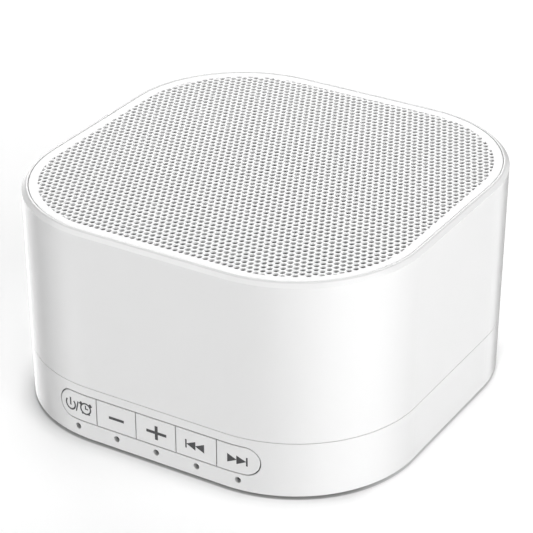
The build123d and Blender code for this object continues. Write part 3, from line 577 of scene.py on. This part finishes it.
def perforation():
    """Every hole of the grille as a ring of points, cut off where the field ends."""
    half = GRILLE_HIGH.x - FIELD_BORDER
    radius = GRILLE_RADIUS - FIELD_BORDER
    rows = int(half / HOLE_PITCH) + 1
    holes = []
    for row in range(-rows, rows + 1):
        shift = (row % 2) * HOLE_PITCH / 2
        for column in range(-rows - 1, rows + 2):
            x = FIRST_HOLE[0] + column * HOLE_PITCH + shift
            y = FIRST_HOLE[1] + row * HOLE_PITCH
            if outside_by(x, y, half, radius) > HOLE_LOSS:
                continue
            ring = []
            for side in range(HOLE_SIDES):
                angle = math.tau * (side + 0.5) / HOLE_SIDES
                near_x, near_y = pull_inside(x + HOLE_RADIUS * math.cos(angle),
                                             y + HOLE_RADIUS * math.sin(angle), half, radius)
                ring.append((near_x + FIELD_MIDDLE[0], near_y + FIELD_MIDDLE[1]))
            holes.append(ring)
    return holes


def folded_edge():
    """Outlines of the sheet's edge, from the flat round the fold and down to the ledge."""
    outlines = []
    for step in range(FOLD_STEPS + 1):
        angle = math.radians(90 * step / FOLD_STEPS)
        inset = FOLD * (1 - math.sin(angle))
        z = GRILLE_HIGH.z - FOLD * (1 - math.cos(angle))
        level = rounded_square(GRILLE_HIGH.x - inset, GRILLE_RADIUS - inset, GRILLE_CORNER_STEPS)
        outlines.append([(x, y, z) for x, y in level])
    outlines.append([(x, y, GRILLE_LOW.z) for x, y, _ in outlines[-1]])
    return outlines


def speaker_grille():
    """The perforated sheet: round holes in staggered rows, and an edge folded down to the ledge."""
    outlines = folded_edge()
    loops = [[(x, y) for x, y, _ in outlines[0]]] + perforation()
    points = []
    edges = []
    for loop in loops:
        start = len(points)
        points += loop
        edges += [(start + i, start + (i + 1) % len(loop)) for i in range(len(loop))]
    flat_points, _, triangles, sources, *_ = delaunay_2d_cdt([Vector(point) for point in points], edges, [],
                                                             FILL_INSIDE, SHEET_WELD)
    around = len(outlines[0])
    metal = []
    # A triangle whose three corners are points of one and the same hole lies in that hole
    for triangle in triangles:
        rings = {(max(sources[corner], default=0) - around) // HOLE_SIDES for corner in triangle}
        if len(rings) > 1 or min(rings) < 0:
            metal.append(triangle)
    placed = [(point.x, point.y, GRILLE_HIGH.z) for point in flat_points]
    edge = {source: index for index, group in enumerate(sources) for source in group if source < around}
    ring = [edge[index] for index in range(around)]
    for outline in outlines[1:]:
        lower = [len(placed) + index for index in range(around)]
        placed += outline
        for index in range(around):
            after = (index + 1) % around
            metal.append((ring[index], lower[index], lower[after], ring[after]))
        ring = lower
    sheet = new_piece("perforated_grille", placed, metal, finish(powder_coated_steel))
    for face in sheet.data.polygons:
        face.use_smooth = len(face.vertices) == 4
    thickness = sheet.modifiers.new("sheet_thickness", "SOLIDIFY")
    thickness.thickness = SHEET * MM
    thickness.offset = -1.0
    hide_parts("speaker_grille")
    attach(sheet, "housing")


# ---- Cloth under the grille ----
def dust_cloth():
    """Thin woven scrim glued under the sheet, which sinks a little between its edges."""
    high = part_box("dust_cloth")[1] / MM
    half = high.x
    radius = CORNER_RADIUS - (BODY_HALF - half)
    outline = rounded_square(half, radius, CLOTH_CORNER_STEPS)
    points = list(outline)
    steps = int(half / CLOTH_CELL)
    for row in range(-steps, steps + 1):
        for column in range(-steps, steps + 1):
            x, y = column * CLOTH_CELL, row * CLOTH_CELL
            if outside_by(x, y, half, radius) < -CLOTH_CELL / 2:
                points.append((x, y))
    edges = [(i, (i + 1) % len(outline)) for i in range(len(outline))]
    flat_points, _, triangles, *_ = delaunay_2d_cdt([Vector(point) for point in points], edges, [],
                                                    FILL_INSIDE, SHEET_WELD)
    placed = []
    for point in flat_points:
        middle = min(-outside_by(point.x, point.y, half, radius) / half, 1.0)
        ripple = math.sin(point.x * RIPPLES[0]) * math.sin(point.y * RIPPLES[1])
        placed.append((point.x, point.y, high.z - CLOTH_SAG * middle * (1 + CLOTH_RIPPLE * ripple)))
    cloth = new_piece("scrim", placed, triangles, finish(scrim_cloth))
    for face in cloth.data.polygons:
        face.use_smooth = True
    weave = cloth.modifiers.new("thread_thickness", "SOLIDIFY")
    weave.thickness = CLOTH_THICKNESS * MM
    weave.offset = -1.0
    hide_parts("dust_cloth")
    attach(cloth, "housing")


# ---- Printed signs ----
def stroke(path, width):
    """Bar of even width along a path of (x, z) points, as four-sided faces."""
    faces = []
    for (x0, z0), (x1, z1) in zip(path, path[1:]):
        length = math.hypot(x1 - x0, z1 - z0)
        side_x = -(z1 - z0) / length * width / 2
        side_z = (x1 - x0) / length * width / 2
        faces.append([(x0 + side_x, z0 + side_z), (x0 - side_x, z0 - side_z),
                      (x1 - side_x, z1 - side_z), (x1 + side_x, z1 + side_z)])
    return faces


def ring_part(x, z, radius, width, start, sweep):
    """Part of a ring round (x, z), as four-sided faces; angles in degrees."""
    faces = []
    inner = radius - width / 2
    outer = radius + width / 2
    for step in range(RING_STEPS):
        a0 = math.radians(start + sweep * step / RING_STEPS)
        a1 = math.radians(start + sweep * (step + 1) / RING_STEPS)
        corners = [(inner, a0), (outer, a0), (outer, a1), (inner, a1)]
        faces.append([(x + r * math.cos(a), z + r * math.sin(a)) for r, a in corners])
    return faces


def power_sign(x, z):
    """Ring with a gap at its top, and an upright line in the gap."""
    line = 0.43
    ring = ring_part(x, z, radius=1.45, width=line, start=139, sweep=267)
    return ring + stroke([(x, z + 1.75), (x, z - 0.35)], width=line)


def slash_sign(x, z):
    """Steep line between the signs of the two functions of one key."""
    return stroke([(x + 0.35, z + 1.4), (x - 0.35, z - 1.42)], width=0.37)


def alarm_clock_sign(x, z):
    """Dial with two hands, two bells and two feet."""
    radius = 1.42
    line = 0.41
    hand = line * 0.85
    bell_radius = 1.88
    bell_half = 0.45
    foot_reach = 1.86
    faces = ring_part(x, z, radius, line, start=0, sweep=360)
    faces += stroke([(x, z + 0.9), (x, z - 0.12)], hand)
    faces += stroke([(x - 0.12, z), (x + 0.72, z)], hand)
    for side in (-1, 1):
        bell = math.radians(90 - side * 49)
        middle_x = x + bell_radius * math.cos(bell)
        middle_z = z + bell_radius * math.sin(bell)
        along_x = -math.sin(bell) * bell_half
        along_z = math.cos(bell) * bell_half
        faces += stroke([(middle_x - along_x, middle_z - along_z),
                         (middle_x + along_x, middle_z + along_z)], width=0.6)
        foot = math.radians(270 + side * 35)
        faces += stroke([(x + r * math.cos(foot), z + r * math.sin(foot)) for r in (radius, foot_reach)],
                        width=0.48)
    return faces


def minus_sign(x, z):
    """Level bar."""
    half = 2.1
    return stroke([(x - half, z), (x + half, z)], width=0.73)


def plus_sign(x, z):
    """Level bar crossed by a shorter upright one."""
    half = 2.75
    upright = 1.88
    level_bar = stroke([(x - half, z), (x + half, z)], width=0.77)
    return level_bar + stroke([(x, z + upright), (x, z - upright)], width=0.83)


def skip_sign(x, z, direction):
    """Two triangles that point to a bar, seen as one sign 5 mm wide."""
    half = 2.45
    overlap = 0.1
    triangle_half = 1.17
    bar_half = 1.15
    bar_x = x + direction * half
    faces = []
    for back in (-half, -overlap):
        tip = back + half
        faces.append([(x + direction * back, z + triangle_half), (x + direction * back, z - triangle_half),
                      (x + direction * tip, z)])
    return faces + stroke([(bar_x, z + bar_half), (bar_x, z - bar_half)], width=0.4)


# Signs by key, each at the X of its own middle
SIGNS = {
    "power_timer": power_sign(-24.13, SIGN_LEVEL) + slash_sign(-22.07, SIGN_LEVEL)
    + alarm_clock_sign(-19.56, SIGN_LEVEL + 0.1),
    "volume_down": minus_sign(-10.85, SIGN_LEVEL),
    "volume_up": plus_sign(0.25, SIGN_LEVEL + 0.03),
    "previous": skip_sign(10.8, SIGN_LEVEL, -1),
    "next": skip_sign(21.85, SIGN_LEVEL, 1),
}


def merged_outline(shapes):
    """Flat mesh that covers overlapping faces once: (points, triangles)."""
    points = []
    faces = []
    for shape in shapes:
        faces.append(list(range(len(points), len(points) + len(shape))))
        points += [Vector(point) for point in shape]
    flat_points, _, triangles, _, _, sources = delaunay_2d_cdt(points, [], faces, FILL_INSIDE, SIGN_WELD)
    return flat_points, [triangle for triangle, source in zip(triangles, sources) if source]


def printed_sign(key, shapes):
    """Ink on a key's face, bent to the housing's round corner."""
    flat_points, triangles = merged_outline(shapes)
    mesh = bmesh.new()
    corners = [mesh.verts.new((point.x, 0.0, point.y)) for point in flat_points]
    for triangle in triangles:
        mesh.faces.new([corners[index] for index in triangle])
    for _ in range(INK_CUTS):
        long_edges = [edge for edge in mesh.edges if edge.calc_length() > INK_MESH]
        if long_edges:
            bmesh.ops.subdivide_edges(mesh, edges=long_edges, cuts=1)
            bmesh.ops.triangulate(mesh, faces=mesh.faces)
    for vert in mesh.verts:
        vert.co.y = -(wall_y(vert.co.x, vert.co.z) + INK_PROUD)
    bmesh.ops.recalc_face_normals(mesh, faces=mesh.faces)
    if sum(face.normal.y for face in mesh.faces) > 0:
        bmesh.ops.reverse_faces(mesh, faces=mesh.faces)
    bmesh.ops.scale(mesh, vec=(MM, MM, MM), verts=mesh.verts)
    data = bpy.data.meshes.new(key + "_sign")
    mesh.to_mesh(data)
    mesh.free()
    sign = bpy.data.objects.new(key + "_sign", data)
    bpy.context.scene.collection.objects.link(sign)
    dress(sign, finish(screen_printed_ink))
    film = sign.modifiers.new("ink_film", "SOLIDIFY")
    film.thickness = INK_DEPTH * MM
    film.offset = -1.0
    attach(sign, key + "_button")


# ---- Studio ----
CAMERA_AZIMUTH = math.radians(31.025)
CAMERA_ELEVATION = math.radians(28.47)
CAMERA_DISTANCE = 525.06
CAMERA_LENS = 146.11               # for a sensor 36 wide
CAMERA_AIM = (-0.4176, 0.5736)     # sideways and upwards from the housing's middle
LAMP_DISTANCE = 700                # far enough for even light from side to side
LAMPS_AIM = (0, 0, 30)             # the middle of the object's height

# Name, azimuth from the front and elevation in degrees, width, height, watts
LAMPS = (
    ("front_right_softbox", 30, 30, 400, 500, 0.42),
    ("low_right_softbox", 60, 12, 400, 500, 2.75),
    ("right_softbox", 90, 40, 400, 500, 1.42),
    ("rear_softbox", -145, 30, 500, 500, 2.37),
    ("front_fill", -20, 50, 500, 500, 0.29),
    ("left_fill", -50, 30, 400, 500, 1.49),
    ("far_fill", 180, 40, 500, 500, 0.63),
    ("overhead", 30, 89, 600, 600, 0.86),
)


def aim_from(azimuth, elevation):
    """Unit vector from the object towards a place seen at these angles."""
    return Vector((math.sin(azimuth) * math.cos(elevation),
                   -math.cos(azimuth) * math.cos(elevation), math.sin(elevation)))


def looking(back):
    """Rotation of a camera or lamp that looks along the opposite of a vector."""
    right = Vector((0, 0, 1)).cross(back).normalized()
    up = back.cross(right)
    return Matrix((right, up, back)).transposed()


def add_camera():
    """Camera with a long lens, aimed at the middle of the housing."""
    back = aim_from(CAMERA_AZIMUTH, CAMERA_ELEVATION)
    turn = looking(back)
    right, up, _ = turn.transposed()
    middle = Vector((0, 0, (BODY_TOP + BODY_BOTTOM) / 2))
    place = middle + CAMERA_AIM[0] * right + CAMERA_AIM[1] * up + CAMERA_DISTANCE * back
    camera = bpy.data.objects.new("camera", bpy.data.cameras.new("camera"))
    camera.data.lens = CAMERA_LENS
    camera.data.sensor_width = 36
    camera.data.clip_start = 0.01
    camera.matrix_world = Matrix.Translation(place * MM) @ turn.to_4x4()
    bpy.context.scene.collection.objects.link(camera)
    bpy.context.scene.camera = camera


def add_lamp(name, azimuth, elevation, width, height, watts):
    """Soft rectangular lamp aimed at the object."""
    back = aim_from(math.radians(azimuth), math.radians(elevation))
    light = bpy.data.lights.new(name, "AREA")
    light.shape = "RECTANGLE"
    light.size = width * MM
    light.size_y = height * MM
    light.energy = watts
    lamp = bpy.data.objects.new(name, light)
    place = (Vector(LAMPS_AIM) + LAMP_DISTANCE * back) * MM
    lamp.matrix_world = Matrix.Translation(place) @ looking(back).to_4x4()
    bpy.context.scene.collection.objects.link(lamp)


FLOOR_REACH = 3000.0
FLOOR_COLOUR = "#FAFAFA"
SHADE_UNDER = "#BEBEBE"         # paper under the object, where no light gets to
PAPER_EDGE = (-0.3, 0.3)        # from the object's outline: where the paper turns from that shade to white
FLOOR_WHITE = 0.166             # added for the eye, so that the floor away from the object is white
CONTACT_SHADE = (0, 6)          # from the outline: over this the added white sets in
LIT_FROM = (43.0, 50.0)         # along X: where the right side starts, which has no contact shade
LIT_SIDE_WHITE = 0.05           # a little more added white on that side
WHITE_BEYOND = (120, 420)       # from the outline: where the lamps fall off and the floor turns all white
WORLD_LIGHT = 0.016             # faint light from all round, into the deepest gaps
HORIZON = 0.05                  # up and down from level, over which the sky turns into the bands
SKY_IN_GLOSS = 0.8              # the white studio above, as gloss shows it

# The studio below the horizon, as gloss shows it: (degrees from the front towards the right, brightness)
STUDIO_IN_GLOSS = ((-180, 0.06), (-150, 0.59), (-131, 1.92), (-111, 1.32), (-91, 0), (-71, 0.75),
                   (-51, 2.18), (-31, 1.12), (0, 0), (30, 0.59), (59, 1.66), (85, 1.95),
                   (101, 1.64), (125, 0.66), (149, 0.44), (165, 1.45), (180, 0.06))


def outside_footprint(tree, start, end):
    """Smooth step on the floor between two distances from the object's outline."""
    radius = wall_radius(BODY_BOTTOM)
    reach = beyond_flats(tree, add(tree, "ShaderNodeTexCoord").outputs["Object"])
    step = add(tree, "ShaderNodeMapRange", {"Value": reach, "From Min": (radius + start) * MM,
                                            "From Max": (radius + end) * MM},
               interpolation_type="SMOOTHSTEP")
    return step.outputs["Result"]


def lit_side(tree):
    """1 on the floor at the right, where low light gets in under the body, and 0 elsewhere."""
    position = add(tree, "ShaderNodeTexCoord").outputs["Object"]
    across = add(tree, "ShaderNodeSeparateXYZ", {"Vector": position}).outputs["X"]
    step = add(tree, "ShaderNodeMapRange", {"Value": across, "From Min": LIT_FROM[0] * MM,
                                            "From Max": LIT_FROM[1] * MM}, interpolation_type="SMOOTHSTEP")
    return step.outputs["Result"]


def mirrored_ray(tree, rays):
    """1 for the rays of gloss and of clear parts."""
    either = add(tree, "ShaderNodeMath", {0: rays.outputs["Is Glossy Ray"],
                                          1: rays.outputs["Is Transmission Ray"]}, operation="MAXIMUM")
    return either.outputs[0]


def add_floor():
    """White paper, which gloss looks through to the studio round the object."""
    quarters = ((-1, -1), (1, -1), (1, 1), (-1, 1))
    corners = [(x * FLOOR_REACH, y * FLOOR_REACH, 0) for x, y in quarters]
    material = bpy.data.materials.new("paper_backdrop")
    material.use_nodes = True
    tree = material.node_tree
    tree.nodes.clear()
    rays = add(tree, "ShaderNodeLightPath")
    colour = layered_colour(tree, SHADE_UNDER, (outside_footprint(tree, *PAPER_EDGE), FLOOR_COLOUR))
    paper = add(tree, "ShaderNodeBsdfDiffuse", {"Color": colour})
    right = lit_side(tree)
    uncovered = add(tree, "ShaderNodeMath", {0: right, 1: outside_footprint(tree, *CONTACT_SHADE)},
                    operation="MAXIMUM")
    seen = add(tree, "ShaderNodeMath", {0: rays.outputs["Is Camera Ray"], 1: uncovered.outputs[0]},
               operation="MULTIPLY")
    near = add(tree, "ShaderNodeMath", {0: right, 1: LIT_SIDE_WHITE, 2: FLOOR_WHITE},
               operation="MULTIPLY_ADD")
    brightness = add(tree, "ShaderNodeMath", {0: outside_footprint(tree, *WHITE_BEYOND), 1: near.outputs[0]},
                     operation="ADD")
    level = add(tree, "ShaderNodeMath", {0: seen.outputs[0], 1: brightness.outputs[0]}, operation="MULTIPLY")
    white = add(tree, "ShaderNodeEmission", {"Strength": level.outputs[0]})
    whitened = add(tree, "ShaderNodeAddShader", {0: paper.outputs[0], 1: white.outputs[0]})
    clear = add(tree, "ShaderNodeBsdfTransparent")
    surface = add(tree, "ShaderNodeMixShader", {0: mirrored_ray(tree, rays), 1: whitened.outputs[0],
                                                2: clear.outputs[0]})
    add(tree, "ShaderNodeOutputMaterial", {"Surface": surface.outputs[0]})
    new_piece("studio_floor", corners, [(0, 1, 2, 3)], material)


def add_world():
    """White studio for the eye. Gloss shows it white above, and below in soft bands by direction."""
    world = bpy.data.worlds.new("studio")
    bpy.context.scene.world = world
    world.use_nodes = True
    tree = world.node_tree
    tree.nodes.clear()
    rays = add(tree, "ShaderNodeLightPath")
    direction = add(tree, "ShaderNodeTexCoord").outputs["Generated"]
    toward = add(tree, "ShaderNodeSeparateXYZ", {"Vector": direction})
    rearward = add(tree, "ShaderNodeMath", {0: toward.outputs["Y"], 1: -1.0}, operation="MULTIPLY")
    azimuth = add(tree, "ShaderNodeMath", {0: toward.outputs["X"], 1: rearward.outputs[0]},
                  operation="ARCTAN2")
    turn = add(tree, "ShaderNodeMapRange", {"Value": azimuth.outputs[0], "From Min": -math.pi,
                                            "From Max": math.pi})
    bands = add(tree, "ShaderNodeValToRGB", {"Fac": turn.outputs["Result"]})
    stops = bands.color_ramp.elements
    while len(stops) < len(STUDIO_IN_GLOSS):
        stops.new(1.0)
    # The ramp's 0 to 1 stand for -180 to 180 degrees
    for stop, (angle, brightness) in zip(stops, STUDIO_IN_GLOSS):
        stop.position = angle / 360 + 0.5
        stop.color = (brightness, brightness, brightness, 1.0)
    below = add(tree, "ShaderNodeMapRange", {"Value": toward.outputs["Z"], "From Min": HORIZON,
                                             "From Max": -HORIZON})
    above = add(tree, "ShaderNodeMapRange", {"Value": below.outputs["Result"], "To Min": SKY_IN_GLOSS,
                                             "To Max": 0.0})
    shown = add(tree, "ShaderNodeMath", {0: bands.outputs["Color"], 1: below.outputs["Result"],
                                         2: above.outputs["Result"]}, operation="MULTIPLY_ADD")
    in_gloss = add(tree, "ShaderNodeMath", {0: rays.outputs["Is Glossy Ray"], 1: shown.outputs[0]},
                   operation="MULTIPLY")
    plain = add(tree, "ShaderNodeMath", {0: rays.outputs["Is Camera Ray"],
                                         1: rays.outputs["Is Transmission Ray"]}, operation="MAXIMUM")
    bright = add(tree, "ShaderNodeMath", {0: plain.outputs[0], 1: in_gloss.outputs[0]}, operation="ADD")
    strength = add(tree, "ShaderNodeMath", {0: bright.outputs[0], 1: WORLD_LIGHT}, operation="MAXIMUM")
    sky = add(tree, "ShaderNodeBackground", {"Color": linear("#FFFFFF"), "Strength": strength.outputs[0]})
    add(tree, "ShaderNodeOutputWorld", {"Surface": sky.outputs[0]})


dress_cad_nodes()
speaker_grille()
dust_cloth()
for sign_key, sign_shapes in SIGNS.items():
    printed_sign(sign_key, sign_shapes)
add_camera()
add_floor()
add_world()
for lamp_settings in LAMPS:
    add_lamp(*lamp_settings)
bpy.context.scene.view_settings.view_transform = "Standard"
